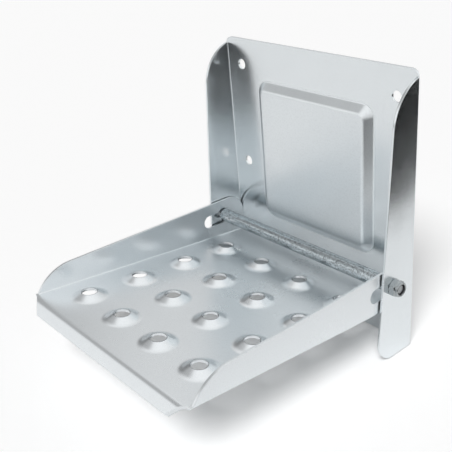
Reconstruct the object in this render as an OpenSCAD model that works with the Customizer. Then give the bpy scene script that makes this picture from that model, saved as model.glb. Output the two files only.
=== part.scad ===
// Fold-down entry step: a pressed wall plate with two cheeks, and a pressed tread
// that swings on a long bolt through both cheeks.
// The wall's face is the plane y = 0, and the step reaches out from it towards -Y.
// Heights are given from the foot of the wall plate. The finished parts are moved so
// that the origin is the centre of the four fixing holes, on the wall's face.

/* [Sheet metal] */
// Thickness of both pressed sheets
sheet_t = 2; // [1.5:0.25:3]
// Inside radius of the long bends
bend_r = 1; // [0.5:0.25:3]

/* [Wall plate] */
// Width over the outsides of the cheeks
plate_w = 210; // [190:1:240]
// Height of the plate
plate_h = 230; // [222:1:270]
// Radius of the plate's two top corners
plate_corner_r = 8; // [4:1:12]
// How far the cheeks stand out from the wall at the foot
cheek_depth = 44; // [40:1:56]
// Lean of the cheeks' front edges back towards the wall, in degrees
cheek_lean = 4.5; // [0:0.5:6]
// Radius of the large arc that ends each cheek at the top
cheek_top_r = 37; // [30:1:45]
// Distance of that arc's centre below the plate's top edge
cheek_top_drop = 41; // [36:1:50]
// Radius of each cheek's lower front corner
cheek_foot_r = 18; // [8:1:24]

/* [Raised panel] */
// Width of the panel at its foot
panel_w = 130; // [100:1:140]
// Height of the panel at its foot
panel_h = 128; // [100:1:132]
// Distance of the panel's centre below the plate's top edge
panel_drop = 97; // [90:1:102]
// How far the panel is pressed out
panel_rise = 6; // [3:0.5:7]
// Corner radius at the panel's foot
panel_corner_r = 12; // [11:1:20]
// Slope of the panel's sides, in degrees
panel_slope = 42; // [35:1:50]
// Radius at the panel's foot
panel_foot_r = 2; // [1:0.5:3]
// Radius at the panel's edge
panel_edge_r = 5; // [3:0.5:6]

/* [Fixing holes] */
// Diameter of the four fixing holes
fix_hole_d = 9; // [6:0.5:10]
// Distance between the two columns of fixing holes
fix_hole_span = 171; // [160:1:180]
// Distance between the upper and the lower pair
fix_hole_pitch = 90; // [60:1:100]
// Distance of the upper pair below the plate's top edge
fix_hole_drop = 22.5; // [16:0.5:30]

/* [Tread] */
// Gap at each side between the tread and the cheek
side_gap = 1; // [0.5:0.25:2]
// Gap between the tread's rear edge and the bend in the plate that stops it
stop_gap = 0.1; // [0.05:0.05:0.3]
// Height of the tread's surface at its rear edge
tread_rear_z = 43; // [38:0.5:46]
// Upward slope of the surface towards the nose, in degrees
tread_slope = 5.7; // [2:0.1:8]
// Length of the surface from the rear edge to the nose bend
tread_len = 223; // [205:1:250]
// Height of the flanges above the surface at the rear
flange_rear_h = 37.5; // [34:0.5:42]
// Height of the flanges above the surface at the top of their front arc
flange_front_h = 20.5; // [16:0.5:26]
// Radius of the arc that ends each flange at the front
flange_front_r = 38; // [28:1:42]
// Distance from the nose bend back to the flanges' front ends
flange_front_gap = 4.5; // [3:0.5:8]
// Radius of the flanges' upper rear corners
flange_rear_r = 17; // [8:1:18]
// Length of the relief cuts at the rear corners of the surface
relief_len = 4; // [2:0.5:6]
// Width of the relief cuts
relief_w = 1.5; // [1:0.25:2]

/* [Nose lip] */
// Angle by which the lip is bent down from the surface, in degrees
lip_angle = 57; // [40:1:70]
// Inside radius of the lip's bend
lip_bend_r = 3; // [1:0.5:4]
// Length of the lip past the start of its bend
lip_len = 13; // [10:0.5:18]
// Distance from the tread's side to the start of the lip's end
lip_inset = 3; // [2:0.5:8]
// How far the lip's ends are cut back at its lower edge
lip_corner = 14; // [2:0.5:20]

/* [Grip domes] */
// Domes along the tread, and across it
dome_count = 4; // [3:1:4]
// Distance between the domes' centres
dome_pitch = 47.4; // [44:0.1:48]
// Distance from the nose bend back to the last row
dome_last = 33.5; // [28:0.1:40]
// Diameter of the hole in each dome
dome_hole_d = 12; // [8:0.5:14]
// Height of each dome
dome_rise = 4; // [2.5:0.5:5]
// Slope of a dome's flank, in degrees
dome_slope = 30; // [24:1:34]
// Radius at a dome's foot
dome_foot_r = 10; // [6:0.5:12]
// Radius at the rim of a dome's hole
dome_rim_r = 1.5; // [1:0.5:3]

/* [Hinge] */
// Diameter of the long bolt
bolt_d = 8; // [6:1:10]
// Distance from the wall to the bolt's axis
bolt_y = 26; // [24:0.5:28]
// Height of the bolt's axis
bolt_z = 66; // [64:0.5:68]
// Play around the bolt in the cheeks' holes, on the diameter
bolt_play = 0.4; // [0.2:0.1:0.6]
// Width of the slot in each flange
slot_w = 12; // [11:0.5:13]
// Length of the slot, end to end
slot_len = 32; // [24:1:34]
// Distance from the bolt's axis back to the slot's rear end
slot_behind = 8; // [7:0.5:9]
// Clearance between the bolt and what rests or turns on it
run_gap = 0.05; // [0.02:0.01:0.1]
// Wall between the bolt and a flat of its head or nut
hex_wall = 2.5; // [2.2:0.1:3]
// Width of the chamfer around the outer faces of the head and the nut
hex_chamfer = 0.4; // [0.2:0.1:0.8]
// Height of the bolt's head
head_h = 5.3; // [4:0.1:7]
// Height of the nut with its collar
nut_h = 8; // [7:0.5:10]
// Height of the nut's six-sided part
nut_hex_h = 5.6; // [4:0.1:6.5]
// Thickness of the nylon ring in the collar
insert_h = 2; // [1:0.1:2.2]
// Wall of the nylon ring
insert_wall = 1.2; // [0.8:0.1:1.4]
// Wall of the collar around the nylon ring
collar_wall = 0.8; // [0.5:0.1:1]
// Height of the rim that holds the nylon ring in
collar_rim = 0.5; // [0.3:0.1:0.8]
// Depth of the bolt's end below the collar's rim
bolt_recess = 1.5; // [0.5:0.1:2.5]
// Chamfer of the bolt's end
bolt_chamfer = 0.8; // [0.4:0.1:1.2]
// Diameter of the tube around the bolt, between the flanges
tube_d = 12; // [11:0.5:13]
// Play of the tube on the bolt, on the diameter
tube_play = 0.4; // [0.2:0.1:0.6]
// Gap at each side between the tube's end and the flange
tube_gap = 1.6; // [1.6:0.1:3]
// Chamfer around the tube's outer edges
tube_chamfer = 0.4; // [0.2:0.1:0.8]

/* [Hidden] */
$fn = 48;
smooth = 96;
eps = 0.01;
far = 400;

half_w = plate_w / 2;
tread_half = half_w - sheet_t - side_gap;
bend_out = bend_r + sheet_t;
fix_hole_top = plate_h - fix_hole_drop;
origin_z = fix_hole_top - fix_hole_pitch / 2;

// How far the plate's bend reaches out at the tread's side, and so the tread's rear edge
bend_bite = bend_r > side_gap
    ? bend_r - sqrt(pow(bend_r, 2) - pow(bend_r - side_gap, 2))
    : 0;
tread_back = sheet_t + bend_bite + stop_gap;

// Height of the slots' axis, and the centres of their round ends
slot_z = bolt_z + bolt_d / 2 + run_gap - slot_w / 2;
slot_back = bolt_y - slot_behind + slot_w / 2;
slot_front = slot_back + slot_len - slot_w;

// Centre of the flanges' front arc, and the fall of their tops to it from the rear
flange_arc_z = flange_front_h - flange_front_r;
flange_arc_x = tread_len - flange_front_gap
    - sqrt(pow(flange_front_r, 2) - pow(flange_arc_z, 2));
flange_fall = atan2(flange_rear_h - flange_arc_z, flange_arc_x)
    - asin(flange_front_r / norm([flange_arc_x, flange_rear_h - flange_arc_z]));

// Half width of the lip, where its bend starts and ends, and its straight leg
lip_half = tread_half - lip_inset;
lip_out = lip_bend_r + sheet_t;
lip_start = tread_len - lip_out * tan(lip_angle / 2);
lip_leg = lip_len - lip_out * lip_angle * PI / 180;
lip_end = lip_start + lip_out * sin(lip_angle) + lip_leg * cos(lip_angle);

hex_af = bolt_d + 2 * hex_wall;
insert_d = bolt_d + 2 * insert_wall;
collar_d = insert_d + 2 * collar_wall;
insert_x = nut_h - insert_h - collar_rim;

// Shape of a pressed step: points of [inset from the foot, height], with a concave
// foot, a straight flank and a convex shoulder
function press_flank(rise, slope, foot_r, top_r) =
    (rise - (foot_r + top_r) * (1 - cos(slope))) / sin(slope);
function press_reach(rise, slope, foot_r, top_r) =
    (foot_r + top_r) * sin(slope) + press_flank(rise, slope, foot_r, top_r) * cos(slope);
function press_curve(rise, slope, foot_r, top_r, steps) = concat(
    [for (i = [0:steps])
        let (a = slope * i / steps)
        [foot_r * sin(a), foot_r * (1 - cos(a))]],
    [for (i = [0:steps])
        let (a = slope * (1 - i / steps))
        [press_reach(rise, slope, foot_r, top_r) - top_r * sin(a),
         rise - top_r * (1 - cos(a))]]);

// A rounded rectangle as a ring of points in the plane at height h
function round_ring(w, d, r, h, steps) = [for (c = [0:3], i = [0:steps])
    let (a = 90 * (c + i / steps),
         sx = (c == 0 || c == 3) ? 1 : -1,
         sy = (c < 2) ? 1 : -1)
    [sx * (w / 2 - r) + r * cos(a), sy * (d / 2 - r) + r * sin(a), h]];

// Solid with a rounded rectangular foot and pressed sides, its foot at z = 0
module pressed_block(w, d, corner_r, curve, root) {
    steps = 6;
    size = 4 * (steps + 1);
    rings = concat([round_ring(w, d, corner_r, -root, steps)],
        [for (p = curve)
            round_ring(w - 2 * p[0], d - 2 * p[0], corner_r - p[0], p[1], steps)]);
    last = len(rings) - 1;
    polyhedron(
        points = [for (ring = rings) each ring],
        faces = concat(
            [[for (i = [0:size - 1]) i]],
            [[for (i = [size - 1:-1:0]) last * size + i]],
            [for (k = [0:last - 1], i = [0:size - 1])
                let (j = (i + 1) % size)
                [k * size + i, (k + 1) * size + i, (k + 1) * size + j, k * size + j]]));
}

// Rectangle with two corners of radius r at its +Y side
module round_top(w, h, r) {
    translate([-w / 2, 0]) square([w, h - r]);
    translate([-w / 2 + r, 0]) square([w - 2 * r, h]);
    for (s = [-1, 1]) translate([s * (w / 2 - r), h - r]) circle(r, $fn = smooth);
}

// Channel section, open towards -Y: a web against y = 0 and two side walls
module channel_section(w, depth, t, r) {
    difference() {
        translate([0, -depth]) round_top(w, depth, r + t);
        translate([0, -depth - 1]) round_top(w - 2 * t, depth - t + 1, r);
    }
}

// Places a YZ drawing, x as distance out from the wall and y as height, across the part
module across(w) {
    rotate([90, 0, -90]) translate([0, 0, -w / 2]) linear_extrude(height = w) children();
}

// Side view of a cheek, drawn as distance from the wall against height: a front edge
// that leans back, a round foot and a large arc at the top
module cheek_outline() {
    foot_x = cheek_depth - cheek_foot_r * tan(45 + cheek_lean / 2);
    top_z = plate_h - cheek_top_drop;
    top_x = cheek_depth - tan(cheek_lean) * top_z - cheek_top_r / cos(cheek_lean);
    side = [cos(cheek_lean), sin(cheek_lean)];
    foot_end = [foot_x, cheek_foot_r] + cheek_foot_r * side;
    top_end = [top_x, top_z] + cheek_top_r * side;
    polygon([[0, 0], [foot_x, 0], foot_end, top_end, [0, top_end[1]]]);
    translate([foot_x, cheek_foot_r]) circle(cheek_foot_r, $fn = smooth);
    translate([top_x, top_z]) circle(cheek_top_r, $fn = smooth);
}

module fixing_holes() {
    for (s = [-1, 1], k = [0, 1])
        translate([s * fix_hole_span / 2, 1, fix_hole_top - k * fix_hole_pitch])
            rotate([90, 0, 0]) cylinder(h = sheet_t + 2, d = fix_hole_d);
}

// The panel's outer shape, pressed out from the plane y = 0, and its root behind that
module panel_form(root) {
    translate([0, 0, plate_h - panel_drop]) rotate([90, 0, 0])
        pressed_block(panel_w, panel_h, panel_corner_r,
            press_curve(panel_rise, panel_slope, panel_foot_r, panel_edge_r, 4), root);
}

module wall_plate() {
    color("silver")
    difference() {
        union() {
            intersection() {
                linear_extrude(height = plate_h)
                    channel_section(plate_w, cheek_depth, sheet_t, bend_r);
                across(plate_w + 2) union() {
                    cheek_outline();
                    square([sheet_t, plate_h]);
                }
                translate([0, 1, 0]) rotate([90, 0, 0])
                    linear_extrude(height = cheek_depth + 2)
                        round_top(plate_w, plate_h, plate_corner_r);
            }
            translate([0, -sheet_t, 0]) panel_form(sheet_t / 2);
        }
        panel_form(1);
        fixing_holes();
        translate([-half_w - 1, -bolt_y, bolt_z]) rotate([0, 90, 0])
            cylinder(h = plate_w + 2, d = bolt_d + bolt_play);
    }
}

// Moves the tread's own frame into place: origin on the surface at the rear edge,
// -Y along the surface to the nose
module on_tread() {
    translate([0, -tread_back, tread_rear_z]) rotate([-tread_slope, 0, 0]) children();
}

// Side view of a flange and the surface under it, in the tread's own frame, drawn as
// distance from the rear edge against height above the surface
module flange_outline() {
    arc_end_x = flange_arc_x + flange_front_r * sin(flange_fall);
    arc_end_z = flange_arc_z + flange_front_r * cos(flange_fall);
    back_z = flange_rear_h * (1 + tan(flange_fall));
    polygon([[-flange_rear_h, -2 * sheet_t], [lip_start, -2 * sheet_t], [lip_start, 0],
             [arc_end_x, 0], [arc_end_x, arc_end_z], [-flange_rear_h, back_z]]);
    intersection() {
        translate([flange_arc_x, flange_arc_z]) circle(flange_front_r, $fn = smooth);
        translate([flange_arc_x, -eps]) square(far);
    }
}

// Cuts the flanges' rear ends upright, parallel with the plate, with a round corner
module rear_trim() {
    rise = tread_slope - flange_fall;
    top_z = tread_rear_z + flange_rear_h
        / (cos(tread_slope) * (1 + tan(tread_slope) * tan(flange_fall)));
    corner = [tread_back + flange_rear_r,
              top_z + flange_rear_r * tan(rise) - flange_rear_r / cos(rise)];
    across(plate_w) translate([-far, -far]) square([far + tread_back, 2 * far]);
    across(plate_w) difference() {
        translate([tread_back - 1, corner[1]]) square([flange_rear_r + 1, far]);
        translate(corner) circle(flange_rear_r, $fn = smooth);
    }
}

// Relief cuts between the flanges' bends and the surface's rear edge
module relief_cuts() {
    for (s = [-1, 1])
        translate([s * (tread_half - bend_out - relief_w / 2), 0, 0])
            cube([relief_w, 2 * relief_len, 4 * sheet_t], center = true);
}

module dome_places() {
    for (i = [0:dome_count - 1], j = [0:dome_count - 1])
        translate([(i - (dome_count - 1) / 2) * dome_pitch,
                   dome_last - tread_len + j * dome_pitch, 0])
            children();
}

// One dome's solid form above a foot plane at z = 0, with a root below it
module dome_form(root) {
    reach = press_reach(dome_rise, dome_slope, dome_foot_r, dome_rim_r);
    base_r = dome_hole_d / 2 + reach;
    rotate_extrude()
        polygon(concat([[0, -root], [base_r, -root]],
            [for (p = press_curve(dome_rise, dome_slope, dome_foot_r, dome_rim_r, 4))
                [base_r - p[0], p[1]]],
            [[0, dome_rise]]));
}

// Section of the nose lip, in the tread's own frame: an arc of the bend and a straight leg
module lip_section() {
    translate([lip_start, -lip_out]) {
        intersection() {
            difference() {
                circle(lip_out, $fn = smooth);
                circle(lip_bend_r, $fn = smooth);
            }
            polygon([[0, 0], [-eps, 0], [-eps, far],
                     far * [sin(lip_angle / 2), cos(lip_angle / 2)],
                     far * [sin(lip_angle), cos(lip_angle)]]);
        }
        rotate(-lip_angle) translate([-eps, lip_bend_r]) square([lip_leg + eps, sheet_t]);
    }
}

// The lip, its ends cut back on a slant from the start of the bend to the lower edge
module nose_lip() {
    difference() {
        across(2 * lip_half) lip_section();
        for (s = [-1, 1])
            translate([0, 0, -far / 2]) linear_extrude(height = far)
                polygon([[s * lip_half, -lip_start], [s * (lip_half + 1), -lip_start],
                         [s * (lip_half + 1), lip_start - 2 * lip_end],
                         [s * (lip_half - 2 * lip_corner), lip_start - 2 * lip_end]]);
    }
}

module tread_slots() {
    for (s = [-1, 1])
        translate([s * tread_half, 0, slot_z]) rotate([0, 90, 0])
            linear_extrude(height = 4 * sheet_t, center = true) {
                for (y = [slot_back, slot_front]) translate([0, -y]) circle(d = slot_w);
                translate([-slot_w / 2, -slot_front])
                    square([slot_w, slot_front - slot_back]);
            }
}

module tread() {
    color("lightgray")
    difference() {
        union() {
            difference() {
                on_tread() union() {
                    intersection() {
                        rotate([90, 0, 0]) translate([0, 0, -flange_rear_h])
                            linear_extrude(height = tread_len + 2 * flange_rear_h)
                                translate([0, -sheet_t]) mirror([0, 1])
                                    channel_section(2 * tread_half, 2 * flange_rear_h,
                                        sheet_t, bend_r);
                        across(plate_w) flange_outline();
                    }
                    nose_lip();
                }
                rear_trim();
                on_tread() relief_cuts();
            }
            on_tread() dome_places() dome_form(sheet_t / 2);
        }
        on_tread() dome_places() {
            translate([0, 0, -sheet_t]) dome_form(1);
            translate([0, 0, -2 * sheet_t]) cylinder(h = 4 * sheet_t + dome_rise, d = dome_hole_d);
        }
        tread_slots();
    }
}

// Six-sided block with its outer corners turned off to a cone, outer face at z = h
module hex_block(h) {
    face_d = hex_af - 2 * hex_chamfer;
    intersection() {
        cylinder(h = h, d = hex_af / cos(30), $fn = 6);
        cylinder(h = h, d1 = face_d + 2 * h / tan(30), d2 = face_d);
    }
}

// Puts a drawing about the z axis onto the bolt's axis, z = 0 at the right cheek's face
module on_bolt() {
    translate([half_w, -bolt_y, bolt_z]) rotate([0, 90, 0]) children();
}

module hinge_bolt() {
    color("darkgray")
    on_bolt() {
        end = nut_h - bolt_recess;
        translate([0, 0, -plate_w]) {
            mirror([0, 0, 1]) hex_block(head_h);
            cylinder(h = plate_w + end - bolt_chamfer, d = bolt_d);
        }
        translate([0, 0, end - bolt_chamfer])
            cylinder(h = bolt_chamfer, d1 = bolt_d, d2 = bolt_d - 2 * bolt_chamfer);
    }
}

// Plain tube over the bolt, its ends chamfered, that keeps the flanges apart
module spacer_tube() {
    tube_end = tread_half - sheet_t - tube_gap;
    tube_r = tube_d / 2;
    bore_r = (bolt_d + tube_play) / 2;
    color("silver")
    on_bolt() translate([0, 0, -half_w]) rotate_extrude()
        polygon([[bore_r, -tube_end], [tube_r - tube_chamfer, -tube_end],
                 [tube_r, tube_chamfer - tube_end], [tube_r, tube_end - tube_chamfer],
                 [tube_r - tube_chamfer, tube_end], [bore_r, tube_end]]);
}

module lock_nut() {
    color("gray")
    on_bolt() difference() {
        union() {
            hex_block(nut_hex_h);
            cylinder(h = nut_h - collar_rim, d = collar_d);
            translate([0, 0, nut_h - collar_rim])
                cylinder(h = collar_rim, d1 = collar_d, d2 = collar_d - 2 * collar_rim);
        }
        translate([0, 0, -1]) cylinder(h = nut_h + 2, d = bolt_d + 2 * run_gap);
        translate([0, 0, insert_x]) cylinder(h = insert_h, d = insert_d);
        translate([0, 0, insert_x]) cylinder(h = nut_h, d = insert_d - 2 * collar_rim);
    }
}

module nut_insert() {
    color("black")
    on_bolt() translate([0, 0, insert_x]) difference() {
        cylinder(h = insert_h, d = insert_d);
        translate([0, 0, -1]) cylinder(h = insert_h + 2, d = bolt_d + 2 * run_gap);
    }
}

// Moves the finished parts to the origin
module placed() {
    translate([0, 0, -origin_z]) children();
}

placed() wall_plate();
placed() tread();
placed() hinge_bolt();
placed() spacer_tube();
placed() lock_nut();
placed() nut_insert();
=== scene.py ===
import math

import bmesh
import bpy
from mathutils import Matrix, Vector


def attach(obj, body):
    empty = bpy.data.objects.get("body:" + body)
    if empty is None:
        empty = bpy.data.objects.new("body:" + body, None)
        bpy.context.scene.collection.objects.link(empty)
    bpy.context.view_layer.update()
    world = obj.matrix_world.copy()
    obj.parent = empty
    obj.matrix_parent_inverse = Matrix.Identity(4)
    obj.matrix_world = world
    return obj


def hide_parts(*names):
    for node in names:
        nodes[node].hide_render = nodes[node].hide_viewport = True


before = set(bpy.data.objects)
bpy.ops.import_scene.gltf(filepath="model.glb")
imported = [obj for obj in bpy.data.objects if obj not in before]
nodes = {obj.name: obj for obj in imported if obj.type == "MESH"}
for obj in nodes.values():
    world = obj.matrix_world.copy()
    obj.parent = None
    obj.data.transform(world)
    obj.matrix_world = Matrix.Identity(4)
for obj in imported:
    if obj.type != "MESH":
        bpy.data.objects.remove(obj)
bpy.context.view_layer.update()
scene = bpy.context.scene
scene.view_settings.view_transform = "Standard"
mm = 0.001
weldDistance = 0.001 * mm
bumpDepth = 0.1 * mm
creaseAngle = 25.0
originHeight = 162.5        # of the frame's origin above the plate's foot
print("frame: loaded")


# node tree helpers
def addNode(tree, kind, inputs=None, **settings):
    node = tree.nodes.new(kind)
    for name, value in settings.items():
        setattr(node, name, value)
    for key, value in (inputs or {}).items():
        if isinstance(value, bpy.types.NodeSocket):
            tree.links.new(value, node.inputs[key])
        else:
            node.inputs[key].default_value = value
    return node


def mathNode(tree, operation, a, b=0.0, clamp=False):
    node = addNode(tree, "ShaderNodeMath", {0: a, 1: b}, operation=operation, use_clamp=clamp)
    return node.outputs[0]


def rangeNode(tree, value, fromMin, fromMax, toMin, toMax, soft=True):
    node = addNode(tree, "ShaderNodeMapRange",
                   {"Value": value, "From Min": fromMin, "From Max": fromMax,
                    "To Min": toMin, "To Max": toMax},
                   interpolation_type="SMOOTHSTEP" if soft else "LINEAR")
    return node.outputs["Result"]


# camera, solved from the photograph
cameraFit = {
    "position": (0.40441, -0.41402, 0.19614),
    "forward": (-0.66164, 0.60000, -0.44970),
    "right": (0.68996, 0.72198, -0.05185),
    "imagePixels": 452,
    "focalPixels": 727.1,
    "centrePixels": (278.93, 235.8),
    "sensorWidth": 36.0,
}


def addCamera(p):
    forward = Vector(p["forward"]).normalized()
    right = Vector(p["right"])
    right = (right - right.dot(forward) * forward).normalized()
    turn = Matrix((right, right.cross(forward), -forward)).transposed()
    pixels = p["imagePixels"]
    data = bpy.data.cameras.new("photoCamera")
    data.sensor_fit = "HORIZONTAL"
    data.sensor_width = p["sensorWidth"]
    data.lens = p["focalPixels"] / pixels * p["sensorWidth"]
    data.shift_x = (pixels / 2 - p["centrePixels"][0]) / pixels
    data.shift_y = (p["centrePixels"][1] - pixels / 2) / pixels
    data.clip_start = 0.01
    camera = bpy.data.objects.new("photoCamera", data)
    camera.matrix_world = Matrix.Translation(p["position"]) @ turn.to_4x4()
    scene.collection.objects.link(camera)
    scene.camera = camera
    print("camera: placed")


# studio: a white table top, a bright soft dome with softer and darker parts,
# and a dark room past the table
studio = {
    "backdropLevel": 1.0,       # white for the camera
    "softLevel": 0.20,          # how much the dome lights the table
    "horizonLevel": 0.72,
    "zenithLevel": 1.00,
    "zenithFrom": 0.35,         # height at which the dome starts to brighten
    "horizonEdge": (-0.02, 0.03),
    "roomLevel": 0.015,         # below the horizon, past the table's edge
    # direction, half angle of the full part and of its soft edge, level
    "panels": (
        ((-0.10, -0.90, 0.42), 20.0, 46.0, 1.00),    # softbox in front
        ((-0.66, -0.57, 0.26), 10.0, 28.0, 0.95),    # and in front at the left
        ((0.66, 0.66, 0.42), 20.0, 46.0, 1.00),      # softbox behind at the right
        ((-0.68, -0.30, 0.74), 6.0, 30.0, 0.42),     # gap between the softboxes
        ((-0.93, 0.16, 0.28), 8.0, 26.0, 0.20),      # and its lower end at the left
    ),
    "lampElevation": 50.0,
    "lampAzimuth": 148.0,
    "lampSoftness": 24.0,
    "lampStrength": 2.7,
    "tableHeight": -0.1636,
    "tableOutline": ((-3.0, -3.0), (0.34, -3.0), (0.285, -0.06), (0.285, 3.0), (-3.0, 3.0)),
    "tableColor": (0.97, 0.97, 0.97, 1.0),
    "tableGlow": 0.12,          # added for the camera alone
}


def addWorld(p):
    world = bpy.data.worlds.new("studioRoom")
    world.use_nodes = True
    tree = world.node_tree
    tree.nodes.clear()
    direction = addNode(tree, "ShaderNodeTexCoord").outputs["Generated"]
    height = addNode(tree, "ShaderNodeSeparateXYZ", {0: direction}).outputs["Z"]
    level = rangeNode(tree, height, p["zenithFrom"], 1.0, p["horizonLevel"], p["zenithLevel"])
    for toPanel, full, edge, panelLevel in p["panels"]:
        along = addNode(tree, "ShaderNodeVectorMath",
                        {0: direction, 1: Vector(toPanel).normalized()},
                        operation="DOT_PRODUCT").outputs["Value"]
        share = rangeNode(tree, along, math.cos(math.radians(edge)),
                          math.cos(math.radians(full)), 0.0, 1.0)
        level = rangeNode(tree, share, 0.0, 1.0, level, panelLevel, soft=False)
    above = rangeNode(tree, height, *p["horizonEdge"], 0.0, 1.0)
    room = rangeNode(tree, above, 0.0, 1.0, p["roomLevel"], level, soft=False)
    paths = addNode(tree, "ShaderNodeLightPath").outputs
    seen = addNode(tree, "ShaderNodeBackground", {"Strength": p["backdropLevel"]})
    soft = addNode(tree, "ShaderNodeBackground", {"Strength": p["softLevel"]})
    mirrored = addNode(tree, "ShaderNodeBackground", {"Strength": room})
    for background in (seen, soft, mirrored):
        background.inputs["Color"].default_value = (1.0, 1.0, 1.0, 1.0)
    lit = addNode(tree, "ShaderNodeMixShader",
                  {0: paths["Is Glossy Ray"], 1: soft.outputs[0], 2: mirrored.outputs[0]})
    final = addNode(tree, "ShaderNodeMixShader",
                    {0: paths["Is Camera Ray"], 1: lit.outputs[0], 2: seen.outputs[0]})
    addNode(tree, "ShaderNodeOutputWorld", {"Surface": final.outputs[0]})
    scene.world = world
    print("room: built")


def addLamp(p):
    data = bpy.data.lights.new("cameraSideLamp", "SUN")
    data.energy = p["lampStrength"]
    data.angle = math.radians(p["lampSoftness"])
    lamp = bpy.data.objects.new("cameraSideLamp", data)
    azimuth = math.radians(p["lampAzimuth"])
    elevation = math.radians(p["lampElevation"])
    toLamp = Vector((math.sin(azimuth) * math.cos(elevation),
                     math.cos(azimuth) * math.cos(elevation), math.sin(elevation)))
    lamp.rotation_euler = toLamp.to_track_quat("Z", "Y").to_euler()
    lamp.visible_glossy = False
    scene.collection.objects.link(lamp)
    print("lamp: placed")


def addTable(p):
    outline = [(x, y, p["tableHeight"]) for x, y in p["tableOutline"]]
    mesh = bpy.data.meshes.new("tableTop")
    mesh.from_pydata(outline, [], [tuple(range(len(outline)))])
    table = bpy.data.objects.new("tableTop", mesh)
    scene.collection.objects.link(table)
    material = bpy.data.materials.new("whiteTable")
    material.use_nodes = True
    tree = material.node_tree
    tree.nodes.clear()
    matte = addNode(tree, "ShaderNodeBsdfDiffuse", {"Color": p["tableColor"]})
    looked = addNode(tree, "ShaderNodeLightPath").outputs["Is Camera Ray"]
    glow = addNode(tree, "ShaderNodeEmission",
                   {"Color": (1.0, 1.0, 1.0, 1.0),
                    "Strength": mathNode(tree, "MULTIPLY", looked, p["tableGlow"])})
    both = addNode(tree, "ShaderNodeAddShader", {0: matte.outputs[0], 1: glow.outputs[0]})
    addNode(tree, "ShaderNodeOutputMaterial", {"Surface": both.outputs[0]})
    mesh.materials.append(material)
    print("table: built")


# zinc plating, shared by all the steel
def buildPlatingGroup():
    group = bpy.data.node_groups.new("zincPlating", "ShaderNodeTree")
    sockets = group.interface
    for name, value in (("Cloud Size", 0.03), ("Speck Size", 0.001), ("Base Roughness", 0.27),
                        ("Roughness Spread", 0.06), ("Darkening", 0.1)):
        socket = sockets.new_socket(name, in_out="INPUT", socket_type="NodeSocketFloat")
        socket.default_value = value
    sockets.new_socket("Vector", in_out="INPUT", socket_type="NodeSocketVector")
    for name in ("Roughness", "Height", "Tone"):
        sockets.new_socket(name, in_out="OUTPUT", socket_type="NodeSocketFloat")
    given = addNode(group, "NodeGroupInput").outputs
    cloudScale = mathNode(group, "DIVIDE", 1.0, given["Cloud Size"])
    speckScale = mathNode(group, "DIVIDE", 1.0, given["Speck Size"])
    cloud = addNode(group, "ShaderNodeTexNoise",
                    {"Vector": given["Vector"], "Scale": cloudScale, "Detail": 5.0,
                     "Roughness": 0.6}).outputs["Fac"]
    speck = addNode(group, "ShaderNodeTexNoise",
                    {"Vector": given["Vector"], "Scale": speckScale, "Detail": 3.0,
                     "Roughness": 0.7}).outputs["Fac"]
    spread = rangeNode(group, cloud, 0.3, 0.7, -0.5, 0.5)
    grain = rangeNode(group, speck, 0.3, 0.7, -0.35, 0.35)
    mixed = mathNode(group, "MULTIPLY", mathNode(group, "ADD", spread, grain),
                     given["Roughness Spread"])
    rough = mathNode(group, "ADD", mixed, given["Base Roughness"])
    tone = mathNode(group, "MULTIPLY", rangeNode(group, speck, 0.42, 0.75, 0.0, 1.0),
                    given["Darkening"])
    addNode(group, "NodeGroupOutput",
            {"Roughness": rough, "Height": speck,
             "Tone": mathNode(group, "SUBTRACT", 1.0, tone)})
    print("plating group: built")
    return group


platingFinishes = {
    "plateZinc": {"color": (0.85, 0.89, 0.91), "rough": 0.22, "spread": 0.05, "cloud": 0.035,
                  "speck": 0.0011, "dark": 0.08, "bump": 0.08, "edge": 0.0006},
    "panelZinc": {"color": (0.85, 0.89, 0.91), "rough": 0.34, "spread": 0.05, "cloud": 0.030,
                  "speck": 0.0011, "dark": 0.08, "bump": 0.08, "edge": 0.0},
    "treadZinc": {"color": (0.85, 0.885, 0.905), "rough": 0.29, "spread": 0.03, "cloud": 0.045,
                  "speck": 0.0010, "dark": 0.07, "bump": 0.06, "edge": 0.0006},
    # the bolt's zinc colour is darkened well below the sheet's: painted shade for its end,
    # sunk in the nut's recess
    "boltZincPaintedShade": {"color": (0.42, 0.44, 0.45), "rough": 0.30, "spread": 0.06, "cloud": 0.010,
                 "speck": 0.0010, "dark": 0.20, "bump": 0.15, "edge": 0.0},
    "tubeZinc": {"color": (0.54, 0.60, 0.63), "rough": 0.17, "spread": 0.16, "cloud": 0.007,
                 "speck": 0.0014, "dark": 0.90, "bump": 0.6, "edge": 0.0},
    "nutZinc": {"color": (0.42, 0.45, 0.46), "rough": 0.08, "spread": 0.06, "cloud": 0.006,
                "speck": 0.0008, "dark": 0.35, "bump": 0.12, "edge": 0.0003},
}


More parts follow.
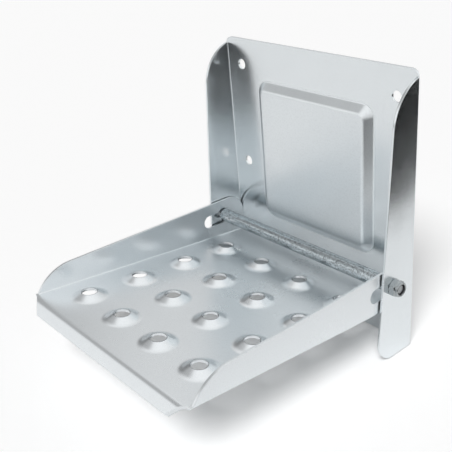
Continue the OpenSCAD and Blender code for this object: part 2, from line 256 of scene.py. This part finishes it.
def platedMaterial(name, finish, group):
    material = bpy.data.materials.new(name)
    material.use_nodes = True
    tree = material.node_tree
    shader = tree.nodes["Principled BSDF"]
    place = addNode(tree, "ShaderNodeTexCoord").outputs["Object"]
    plating = addNode(tree, "ShaderNodeGroup", node_tree=group)
    tree.links.new(place, plating.inputs["Vector"])
    for key, socket in (("cloud", "Cloud Size"), ("speck", "Speck Size"),
                        ("rough", "Base Roughness"), ("spread", "Roughness Spread"),
                        ("dark", "Darkening")):
        plating.inputs[socket].default_value = finish[key]
    tint = addNode(tree, "ShaderNodeVectorMath",
                   {0: finish["color"], 1: plating.outputs["Tone"]}, operation="MULTIPLY")
    tree.links.new(tint.outputs[0], shader.inputs["Base Color"])
    tree.links.new(plating.outputs["Roughness"], shader.inputs["Roughness"])
    bump = addNode(tree, "ShaderNodeBump",
                   {"Strength": finish["bump"], "Distance": bumpDepth,
                    "Height": plating.outputs["Height"]})
    if finish["edge"]:   # the sheet's edges are slightly rounded
        rounded = addNode(tree, "ShaderNodeBevel", {"Radius": finish["edge"]}, samples=6)
        tree.links.new(rounded.outputs[0], bump.inputs["Normal"])
    tree.links.new(bump.outputs[0], shader.inputs["Normal"])
    shader.inputs["Metallic"].default_value = 1.0
    return material


def nylonMaterial():
    material = bpy.data.materials.new("blackNylon")
    material.use_nodes = True
    tree = material.node_tree
    shader = tree.nodes["Principled BSDF"]
    place = addNode(tree, "ShaderNodeTexCoord").outputs["Object"]
    grain = addNode(tree, "ShaderNodeTexNoise",
                    {"Vector": place, "Scale": 1500.0, "Detail": 2.0}).outputs["Fac"]
    tree.links.new(rangeNode(tree, grain, 0.3, 0.7, 0.45, 0.65), shader.inputs["Roughness"])
    bump = addNode(tree, "ShaderNodeBump",
                   {"Strength": 0.2, "Distance": bumpDepth, "Height": grain})
    tree.links.new(bump.outputs[0], shader.inputs["Normal"])
    shader.inputs["Base Color"].default_value = (0.03, 0.03, 0.033, 1.0)
    return material


# mesh helpers
def linkMesh(name, bm, material):
    mesh = bpy.data.meshes.new(name)
    bm.to_mesh(mesh)
    bm.free()
    mesh.materials.append(material)
    piece = bpy.data.objects.new(name, mesh)
    scene.collection.objects.link(piece)
    return piece


def bakedPiece(source, name):
    result = bpy.data.meshes.new_from_object(
        source.evaluated_get(bpy.context.evaluated_depsgraph_get()))
    result.name = name
    piece = bpy.data.objects.new(name, result)
    scene.collection.objects.link(piece)
    bpy.data.objects.remove(source)
    return piece


def pressProfile(rise, slope, footRadius, topRadius, footSteps, topSteps):
    # [inset from the foot, height] of a pressed step, foot to shoulder
    angle = math.radians(slope)
    radii = footRadius + topRadius
    flank = (rise - radii * (1 - math.cos(angle))) / math.sin(angle)
    reach = radii * math.sin(angle) + flank * math.cos(angle)
    points = []
    for i in range(footSteps + 1):
        a = angle * i / footSteps
        points.append((footRadius * math.sin(a), footRadius * (1 - math.cos(a))))
    for i in range(topSteps + 1):
        a = angle * (1 - i / topSteps)
        points.append((reach - topRadius * math.sin(a), rise - topRadius * (1 - math.cos(a))))
    return points, reach


def shadeByAngle(piece, degrees):
    mesh = piece.data
    for polygon in mesh.polygons:
        polygon.use_smooth = True
    bm = bmesh.new()
    bm.from_mesh(mesh)
    limit = math.radians(degrees)
    for edge in bm.edges:
        edge.smooth = len(edge.link_faces) == 2 and edge.calc_face_angle(0.0) < limit
    bm.to_mesh(mesh)
    bm.free()


def sheetCopy(node, name, material, pressedForm):
    # The node's mesh without its pressed forms, which get finer skins
    # pressedForm names the form that a corner lies on, or gives None
    bm = bmesh.new()
    bm.from_mesh(nodes[node].data)
    bmesh.ops.remove_doubles(bm, verts=bm.verts, dist=weldDistance)
    form = {v: pressedForm(v.co) for v in bm.verts}
    going = [f for f in bm.faces
             if form[f.verts[0]] and all(form[v] == form[f.verts[0]] for v in f.verts)]
    bmesh.ops.delete(bm, geom=going, context="FACES")
    for face in bm.faces:
        face.smooth = True
    piece = linkMesh(name, bm, material)
    shadeByAngle(piece, creaseAngle)
    print(name + ": copied, pressed faces left out", len(going))
    return piece


def ridePiece(piece, body, node):
    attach(piece, body)
    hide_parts(node)


# wall plate and its pressed panel
plateSizes = {
    "sheet": 2.0,
    "panelWidth": 130.0,
    "panelHeight": 128.0,
    "panelCentre": 230.0 - 97.0 - originHeight,     # 97 below the plate's top edge
    "rise": 6.0,
    "cornerRadius": 12.0,
    "slope": 42.0,
    "footRadius": 2.0,
    "edgeRadius": 5.0,
    "flatRim": 0.6,
    "cornerSteps": 16,
    "footSteps": 6,
    "edgeSteps": 9,
    "overlap": 0.3,
    "lift": 0.006,
    "slack": 0.05,
}


def roundedRing(width, height, radius, steps):
    points = []
    for corner in range(4):
        cx = (width / 2 - radius) * (1 if corner in (0, 3) else -1)
        cz = (height / 2 - radius) * (1 if corner < 2 else -1)
        for i in range(steps + 1):
            a = math.radians(90 * (corner + i / steps))
            points.append((cx + radius * math.cos(a), cz + radius * math.sin(a)))
    return points


def buildPanel(p, material):
    profile, reach = pressProfile(p["rise"], p["slope"], p["footRadius"], p["edgeRadius"],
                                  p["footSteps"], p["edgeSteps"])
    rings = [(-p["overlap"], p["lift"]), *profile, (reach + p["flatRim"], p["rise"])]
    bm = bmesh.new()
    for level, flip in ((-p["sheet"], False), (0.0, True)):
        last = None
        for inset, height in rings:
            ring = []
            for x, z in roundedRing(p["panelWidth"] - 2 * inset, p["panelHeight"] - 2 * inset,
                                    p["cornerRadius"] - inset, p["cornerSteps"]):
                y = level - height
                ring.append(bm.verts.new((x * mm, y * mm, (z + p["panelCentre"]) * mm)))
            if last:
                for i in range(len(ring)):
                    j = (i + 1) % len(ring)
                    loop = [last[i], last[j], ring[j], ring[i]]
                    bm.faces.new(loop[::-1] if flip else loop)
            last = ring
        bm.faces.new(last[::-1] if flip else last)
    for face in bm.faces:
        face.smooth = True
    piece = linkMesh("pressedPanel", bm, material)
    print("pressed panel: built")
    return piece


def onPanel(co):
    p = plateSizes
    across = abs(co.x) / mm <= p["panelWidth"] / 2 + p["slack"]
    upright = abs(co.z / mm - p["panelCentre"]) <= p["panelHeight"] / 2 + p["slack"]
    return "panel" if across and upright else None


# tread and its domes
treadSizes = {
    "sheet": 2.0,
    "back": 2.1,
    "rearHeight": 43.0 - originHeight,
    "slope": 5.7,
    "length": 223.0,
    "domeCount": 4,
    "domePitch": 47.4,
    "domeLast": 33.5,
    "holeDiameter": 12.0,
    "rise": 4.0,
    "domeSlope": 30.0,
    "footRadius": 10.0,
    "rimRadius": 1.5,
    "edgeRound": 0.5,
    "segments": 56,
    "footSteps": 9,
    "rimSteps": 3,
    "roundSteps": 4,
    "creaseAngle": 40.0,
    "overlap": 0.3,
    "lift": 0.006,
    "slack": 0.05,
    "lowest": -3.0,         # heights between which a corner can lie on a dome
    "highest": 5.0,
}


def treadPlace(p):
    return (Matrix.Translation((0.0, -p["back"] * mm, p["rearHeight"] * mm))
            @ Matrix.Rotation(math.radians(-p["slope"]), 4, "X"))


def domeProfile(p):
    return pressProfile(p["rise"], p["domeSlope"], p["footRadius"], p["rimRadius"],
                        p["footSteps"], p["rimSteps"])


def domeMesh(p, material):
    profile, reach = domeProfile(p)
    hole = p["holeDiameter"] / 2
    base = hole + reach
    section = [(base + p["overlap"], p["lift"])]
    section += [(base - inset, height + p["lift"]) for inset, height in profile[:-1]]
    for i in range(p["roundSteps"] + 1):   # the rounded edge of the pierced hole
        a = math.radians(90 * i / p["roundSteps"])
        section.append((hole + p["edgeRound"] * (1 - math.sin(a)),
                        p["rise"] - p["edgeRound"] * (1 - math.cos(a))))
    section.append((hole, p["rise"] - p["sheet"]))
    section += [(base - inset, height - p["sheet"]) for inset, height in profile[::-1][1:]]
    section.append((base + p["overlap"], -p["sheet"] - p["lift"]))
    bm = bmesh.new()
    count = p["segments"]
    rings = [[bm.verts.new((r * mm * math.cos(2 * math.pi * i / count),
                            r * mm * math.sin(2 * math.pi * i / count), z * mm))
              for i in range(count)] for r, z in section]
    for a, b in zip(rings, rings[1:]):
        for i in range(count):
            j = (i + 1) % count
            bm.faces.new((a[i], a[j], b[j], b[i]))
    dome = linkMesh("oneDome", bm, material)
    shadeByAngle(dome, p["creaseAngle"])
    return dome


def buildDomes(p, material):
    # A grid of points on the tread, one dome on each
    dome = domeMesh(p, material)
    tree = bpy.data.node_groups.new("domeGrid", "GeometryNodeTree")
    for name, kind in (("Dome", "NodeSocketObject"), ("Pitch", "NodeSocketFloat"),
                       ("Count", "NodeSocketInt"), ("Material", "NodeSocketMaterial")):
        tree.interface.new_socket(name, in_out="INPUT", socket_type=kind)
    tree.interface.new_socket("Mesh", in_out="OUTPUT", socket_type="NodeSocketGeometry")
    given = addNode(tree, "NodeGroupInput").outputs
    gaps = mathNode(tree, "SUBTRACT", given["Count"], 1.0)
    span = mathNode(tree, "MULTIPLY", given["Pitch"], gaps)
    grid = addNode(tree, "GeometryNodeMeshGrid",
                   {"Size X": span, "Size Y": span,
                    "Vertices X": given["Count"], "Vertices Y": given["Count"]})
    form = addNode(tree, "GeometryNodeObjectInfo", {"Object": given["Dome"]})
    placed = addNode(tree, "GeometryNodeInstanceOnPoints",
                     {"Points": grid.outputs["Mesh"], "Instance": form.outputs["Geometry"]})
    real = addNode(tree, "GeometryNodeRealizeInstances", {0: placed.outputs["Instances"]})
    coated = addNode(tree, "GeometryNodeSetMaterial",
                     {"Geometry": real.outputs[0], "Material": given["Material"]})
    addNode(tree, "NodeGroupOutput", {0: coated.outputs["Geometry"]})
    carrier = bpy.data.objects.new("domeCarrier", bpy.data.meshes.new("domeCarrier"))
    scene.collection.objects.link(carrier)
    modifier = carrier.modifiers.new("domeGrid", "NODES")
    modifier.node_group = tree
    values = {"Dome": dome, "Pitch": p["domePitch"] * mm, "Count": p["domeCount"],
              "Material": material}
    for item in tree.interface.items_tree:
        if item.in_out == "INPUT" and item.name in values:
            modifier[item.identifier] = values[item.name]
    piece = bakedPiece(carrier, "gripDomes")
    bpy.data.objects.remove(dome)
    middle = p["domeLast"] - p["length"] + p["domePitch"] * (p["domeCount"] - 1) / 2
    piece.data.transform(treadPlace(p) @ Matrix.Translation((0.0, middle * mm, 0.0)))
    print("grip domes: built", len(piece.data.polygons))
    return piece


def domeFinder(p):
    back = treadPlace(p).inverted()
    base = p["holeDiameter"] / 2 + domeProfile(p)[1] + p["slack"]
    half = (p["domeCount"] - 1) / 2

    def onDome(co):
        local = back @ co
        if not p["lowest"] * mm < local.z < p["highest"] * mm:
            return None
        fromNose = local.y / mm + p["length"] - p["domeLast"]
        column = round(local.x / mm / p["domePitch"] + half) - half
        row = round(fromNose / p["domePitch"])
        if abs(column) > half or not 0 <= row < p["domeCount"]:
            return None
        away = math.hypot(local.x / mm - column * p["domePitch"],
                          fromNose - row * p["domePitch"])
        return (column, row) if away <= base else None
    return onDome


# hinge bolt, its tube and the lock nut, turned about the X axis at the hinge
boltSizes = {
    "axisY": -26.0,
    "axisZ": 66.0 - originHeight,
    "halfWidth": 105.0,
    "shank": 8.0,
    "flats": 13.0,
    "headHeight": 5.3,
    "nutHeight": 8.0,
    "nutHexHeight": 5.6,
    "collar": 12.0,
    "insert": 10.4,
    "insertHeight": 2.0,
    "collarRim": 0.5,
    "collarRise": 0.2,      # of the fillet between the hexagon and the collar
    "collarSpread": 0.25,
    "rollRadius": 0.9,      # of the collar's edge, rolled over the nylon ring
    "rollAngle": 150.0,
    "rollSteps": 6,
    "rimBevel": 0.25,
    "bore": 8.1,
    "boreChamfer": 0.5,
    "recess": 1.5,
    "chamfer": 0.8,
    "faceChamfer": 0.4,
    "neck": 0.3,            # fillet under the bolt's head
    "pole": 0.01,           # radius at the middle of a closed end
    "tube": 12.0,
    "tubeBore": 8.4,
    "tubeEnd": 98.4,
    "tubeChamfer": 0.4,
    "tubeSteps": 4,
    "segments": 96,
}


def cornerRadius(p):
    return p["flats"] / 2 / math.cos(math.radians(30))


def turnedPiece(name, section, p, material, closed=False):
    # section: (x along the bolt, radius, follows the hexagon)
    bm = bmesh.new()
    count = p["segments"]
    rings = []
    for x, radius, isHex in section:
        ring = []
        for i in range(count):
            a = 2 * math.pi * i / count
            r = radius
            if isHex:
                fromFlat = a % math.radians(60) - math.radians(30)
                r = min(radius, p["flats"] / 2 / math.cos(fromFlat))
            ring.append(bm.verts.new((x * mm, (p["axisY"] + r * math.sin(a)) * mm,
                                      (p["axisZ"] + r * math.cos(a)) * mm)))
        rings.append(ring)
    pairs = list(zip(rings, rings[1:]))
    if closed:
        pairs.append((rings[-1], rings[0]))
    for a, b in pairs:
        for i in range(count):
            j = (i + 1) % count
            bm.faces.new((a[i], a[j], b[j], b[i]))
    if not closed:
        bm.faces.new(rings[0])
        bm.faces.new(rings[-1])
    bmesh.ops.recalc_face_normals(bm, faces=bm.faces)
    piece = linkMesh(name, bm, material)
    shadeByAngle(piece, creaseAngle)
    print(name + ": built")
    return piece


def chamferRings(faceX, inward, p, steps=4):
    # The 30 degree chamfer that turns a hexagon's outer corners off
    corner = cornerRadius(p)
    face = p["flats"] / 2 - p["faceChamfer"]
    depth = (corner - face) * math.tan(math.radians(30))
    return [(faceX + inward * depth * i / steps, face + (corner - face) * i / steps, True)
            for i in range(steps + 1)]


def buildBolt(p, material):
    radius = p["shank"] / 2
    left = -p["halfWidth"]
    end = p["halfWidth"] + p["nutHeight"] - p["recess"]
    section = [(left - p["headHeight"], p["pole"], False)]
    section += chamferRings(left - p["headHeight"], 1, p)
    section += [(left, cornerRadius(p), True), (left, radius + p["neck"], False),
                (left + p["neck"], radius, False)]
    section += [(end - p["chamfer"], radius, False), (end, radius - p["chamfer"], False),
                (end, p["pole"], False)]
    return turnedPiece("hingeBoltShape", section, p, material)


def buildTube(p, material):
    outer = p["tube"] / 2
    bore = p["tubeBore"] / 2
    end = p["tubeEnd"]
    section = []
    for side in (-1, 1):
        face = [(side * end, bore, False)]
        for i in range(p["tubeSteps"] + 1):   # the turned edge
            a = math.radians(90 * i / p["tubeSteps"])
            face.append((side * (end - p["tubeChamfer"] * (1 - math.cos(a))),
                         outer - p["tubeChamfer"] * (1 - math.sin(a)), False))
        section += face if side < 0 else face[::-1]
    return turnedPiece("spacerTubeShape", section, p, material, closed=True)


def buildNut(p, material):
    near = p["halfWidth"]
    hexEnd = near + p["nutHexHeight"]
    end = near + p["nutHeight"]
    bore = p["bore"] / 2
    collar = p["collar"] / 2
    pocket = p["insert"] / 2
    rim = p["collarRim"]
    roll = p["rollRadius"]
    pocketX = end - p["insertHeight"] - rim
    section = [(near, bore + p["boreChamfer"], False)]
    section += chamferRings(near, 1, p)
    section += chamferRings(hexEnd, -1, p)[::-1]
    section += [(hexEnd, collar + p["collarSpread"], False),
                (hexEnd + p["collarRise"], collar, False)]
    for i in range(p["rollSteps"] + 1):
        a = math.radians(p["rollAngle"] * i / p["rollSteps"])
        section.append((end - roll + roll * math.sin(a),
                        collar - roll + roll * math.cos(a), False))
    section += [(end - rim, pocket - p["rimBevel"], False), (end - rim, pocket, False),
                (pocketX, pocket, False), (pocketX, bore, False),
                (near + p["boreChamfer"], bore, False)]
    return turnedPiece("lockNutShape", section, p, material, closed=True)


# build
addCamera(cameraFit)
addWorld(studio)
addLamp(studio)
addTable(studio)

plating = buildPlatingGroup()
finishes = {name: platedMaterial(name, finish, plating)
            for name, finish in platingFinishes.items()}
for slot in nodes["nut_insert"].material_slots:
    slot.material = nylonMaterial()

plateSheet = sheetCopy("wall_plate", "plateSheet", finishes["plateZinc"], onPanel)
ridePiece(plateSheet, "wall_bracket", "wall_plate")
pressedPanel = buildPanel(plateSizes, finishes["panelZinc"])
ridePiece(pressedPanel, "wall_bracket", "wall_plate")

treadSheet = sheetCopy("tread", "treadSheet", finishes["treadZinc"], domeFinder(treadSizes))
ridePiece(treadSheet, "tread", "tread")
gripDomes = buildDomes(treadSizes, finishes["treadZinc"])
ridePiece(gripDomes, "tread", "tread")

boltShape = buildBolt(boltSizes, finishes["boltZincPaintedShade"])
ridePiece(boltShape, "wall_bracket", "hinge_bolt")
tubeShape = buildTube(boltSizes, finishes["tubeZinc"])
ridePiece(tubeShape, "wall_bracket", "spacer_tube")
nutShape = buildNut(boltSizes, finishes["nutZinc"])
ridePiece(nutShape, "wall_bracket", "lock_nut")
